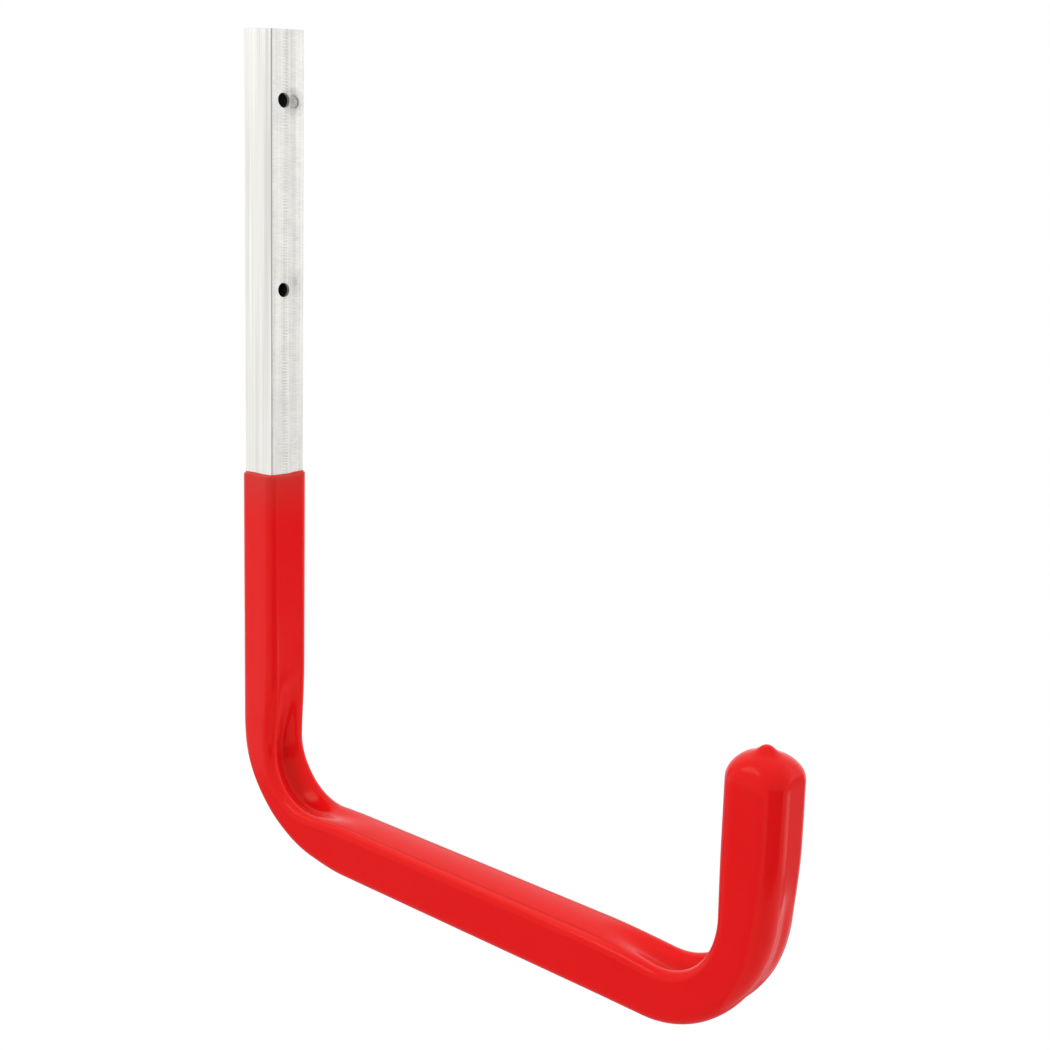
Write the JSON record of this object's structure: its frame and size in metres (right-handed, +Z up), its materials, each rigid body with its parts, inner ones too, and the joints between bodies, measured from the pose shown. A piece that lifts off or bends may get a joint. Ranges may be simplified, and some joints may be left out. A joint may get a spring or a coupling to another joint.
{
  "type": "wall hook",
  "caption": "Wall hook of bent square tube with a long screw-on leg, a level arm and an upturned tip, dipped in soft plastic from mid-leg to its domed end.",
  "frame": {"origin": "midway between the two screw holes, on the bare leg's back face", "axes": "+X across the tube, +Y towards the wall, so the arm runs out along -Y, +Z up the leg"},
  "size_m": [0.0256, 0.29, 0.3848],
  "materials": {
    "zinc_steel": "bright zinc plating with fine lengthwise streaks",
    "red_skin": "smooth glossy soft plastic"
  },
  "bodies": {
    "root": {"square_tube": "zinc_steel", "dipped_coat": "red_skin"}
  },
  "joints": []
}
